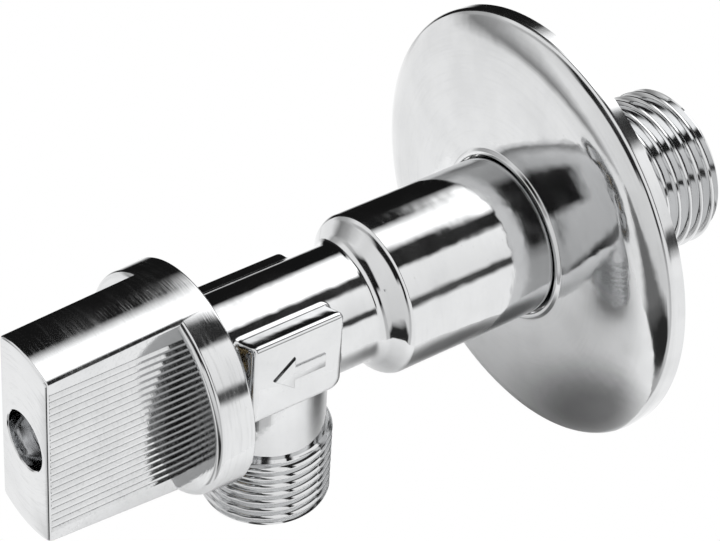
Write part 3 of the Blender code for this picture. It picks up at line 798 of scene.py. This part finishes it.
for part in frame["record"]["subparts"]:
    put_finish(bpy.data.objects[part["node"]], FINISHES[part["material_slot"]])
new_pieces = ((body, body_chrome), (knob, knob_chrome), (screw, zinc_steel), (rosette, rosette_chrome))
for obj, finish in new_pieces:
    put_finish(obj, finish)

# %% [markdown]
# ## Studio
# Chrome has hardly a colour of its own: it shows its surroundings. A tent of soft panels with dark gaps
# between them gives it the long bright and dark bands that make it read as metal. The panels are drawn
# straight into the world as bands round the valve's long axis. Seven sets of bands follow each other along
# that axis, from the knob's end of the world to the wall's. Matt pieces and the floor are lit softly from
# above, and behind everything the camera sees plain white.

# %% World
# Each band is an angle in degrees, round the axis from +X towards +Z, and a brightness.
WALL_SIDE = ((-180, 0.01), (-162, 0.01), (-150, 1.1), (-60, 1.22), (2, 1.25), (7, 0.05), (14, 0.05),
             (18, 1.1), (58, 1.3), (65, 0.02), (79, 0.02), (86, 2.1), (132, 2.1), (148, 0.01), (180, 0.01))
LEVEL_SIDE = ((-180, 0.01), (-162, 0.01), (-150, 1.1), (-60, 1.22), (2, 1.22), (8, 0.1), (14, 0.1),
              (20, 1.1), (57, 1.2), (62, 0.02), (84, 0.02), (96, 2.1), (111, 2.1), (128, 0.01), (180, 0.01))
GAP = ((-180, 0.02), (-165, 0.02), (-150, 1.1), (0, 1.2), (14, 0.9), (22, 0.01), (100, 0.01), (118, 0.5),
       (140, 0.02), (180, 0.02))
SIDE = ((-180, 0.5), (-170, 1.1), (-100, 1.2), (150, 1.1), (165, 0.6), (180, 0.5))
KNOB_SIDE = ((-180, 0.3), (-169, 1.1), (-129, 1.22), (-123, 0.55), (-113, 0.45), (-104, 1.1), (-94, 1.0),
             (-84, 0.5), (-45, 0.75), (-5, 0.7), (10, 0.4), (20, 0.01), (110, 0.01), (128, 0.6), (160, 0.7),
             (180, 0.3))
LOW_SIDE = ((-180, 0.3), (-168, 1.1), (-129, 1.22), (-121, 0.6), (-112, 0.6), (-98, 1.1), (-84, 0.03),
            (-48, 0.03), (-34, 0.9), (38, 1.0), (50, 0.01), (108, 0.01), (126, 0.9), (150, 1.1), (180, 0.3))
FRONT_SIDE = ((-180, 0.3), (-165, 1.1), (-95, 1.1), (-80, 0.2), (-50, 0.2), (-36, 0.9), (150, 1.1),
              (180, 0.3))
LAYERS = ((-0.86, -0.78, LOW_SIDE), (-0.6, -0.52, KNOB_SIDE), (-0.36, -0.26, SIDE), (0.05, 0.09, GAP),
          (0.18, 0.23, LEVEL_SIDE), (0.36, 0.46, WALL_SIDE))  # where along the axis each set fades in
BRIGHTEST = 3.0  # a ramp holds no more than 1, so it holds shares of this
FROM_SIDES, FROM_ABOVE = 0.2, 2.9  # brightness of the soft light


def bands(tree, turn, stops):
    return ramp(tree, turn, [((angle + 180) / 360, level / BRIGHTEST) for angle, level in stops])


world = bpy.data.worlds.new("studio")
bpy.context.scene.world = world
world.use_nodes = True
tree = world.node_tree
tree.nodes.clear()
toward = node(tree, "SeparateXYZ", Vector=node(tree, "TexCoord").outputs["Generated"])
turn = calc(tree, "ARCTAN2", toward.outputs["Z"], toward.outputs["X"])
turn = node(tree, "MapRange", _0=turn, From_Min=-math.pi, From_Max=math.pi).outputs[0]
around = bands(tree, turn, FRONT_SIDE)
for near, far, stops in LAYERS:
    share = node(tree, "MapRange", _0=toward.outputs["Y"], From_Min=near, From_Max=far).outputs[0]
    around = node(tree, "MixRGB", _0=share, _1=around, _2=bands(tree, turn, stops)).outputs[0]
panels = node(tree, "Background", Color=around, Strength=BRIGHTEST)
height = calc(tree, "MAXIMUM", toward.outputs["Z"], 0.0)
from_above = calc(tree, "MULTIPLY_ADD", calc(tree, "MULTIPLY", height, height), FROM_ABOVE, FROM_SIDES)
soft = node(tree, "Background", Color=(1, 1, 1, 1), Strength=from_above)
white = node(tree, "Background", Color=(1, 1, 1, 1), Strength=1.0)
path = node(tree, "LightPath")
lit = node(tree, "MixShader", _0=path.outputs["Is Glossy Ray"], _1=soft.outputs[0], _2=panels.outputs[0])
seen = node(tree, "MixShader", _0=path.outputs["Is Camera Ray"], _1=lit.outputs[0], _2=white.outputs[0])
node(tree, "OutputWorld", Surface=seen.outputs[0])
bpy.context.scene.view_settings.view_transform = "Standard"

# %% [markdown]
# The floor is a pale table that the rosette's rim stands on. It shows in the chrome, with the soft shadow
# under the valve, but not to the camera, which sees the white behind it. Soft light from a wide ceiling
# leaves only a weak shadow, so a painted shadow, a darker tone in the table's colour, is added under the
# collar.

# %% Floor
FLOOR_R = 40
# SHADE_MIDDLE, SHADE_START, SHADE_END and SHADE_TONE place and colour a painted shadow on the table under the
# collar.
FLOOR_MIDDLE, SHADE_MIDDLE = (-5, -30), (14, -10)
SHADE_START, SHADE_END, SHADE_TONE = 4, 19, (0.22, 0.22, 0.22, 1)
PALE = ((0.3, 0.84), (0.7, 0.88))

floor_mesh = bmesh.new()
bmesh.ops.create_circle(floor_mesh, cap_ends=True, segments=96, radius=FLOOR_R * MM)
floor_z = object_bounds()[0][2] - 0.2 * MM
floor_middle = (FLOOR_MIDDLE[0] * MM, FLOOR_MIDDLE[1] * MM, floor_z)
bmesh.ops.translate(floor_mesh, vec=floor_middle, verts=floor_mesh.verts)
floor = piece("floor", floor_mesh)
floor_paint = bpy.data.materials.new("floor_paint")
floor_paint.use_nodes = True
tree = floor_paint.node_tree
paint = tree.nodes["Principled BSDF"]
here = node(tree, "TexCoord").outputs["Object"]
grain = node(tree, "TexNoise", Vector=here, Scale=60.0, Detail=3.0)
pale = ramp(tree, grain.outputs[0], PALE)
# Painted shadow: the table's colour is dark grey round this point under the collar and fades to pale by
# SHADE_END.
shade_middle = (SHADE_MIDDLE[0] * MM, SHADE_MIDDLE[1] * MM, floor_z)
away = node(tree, "VectorMath", {"operation": "DISTANCE"}, _0=here, _1=shade_middle).outputs["Value"]
shade = node(tree, "MapRange", {"interpolation_type": "SMOOTHSTEP"}, _0=away, From_Min=SHADE_START * MM,
             From_Max=SHADE_END * MM)
tone = node(tree, "MixRGB", _0=shade.outputs[0], _1=SHADE_TONE, _2=pale)
tree.links.new(tone.outputs[0], paint.inputs["Base Color"])
paint.inputs["Roughness"].default_value = 0.9
paint.inputs["Specular IOR Level"].default_value = 0.1
floor.data.materials.append(floor_paint)
floor.visible_camera = False
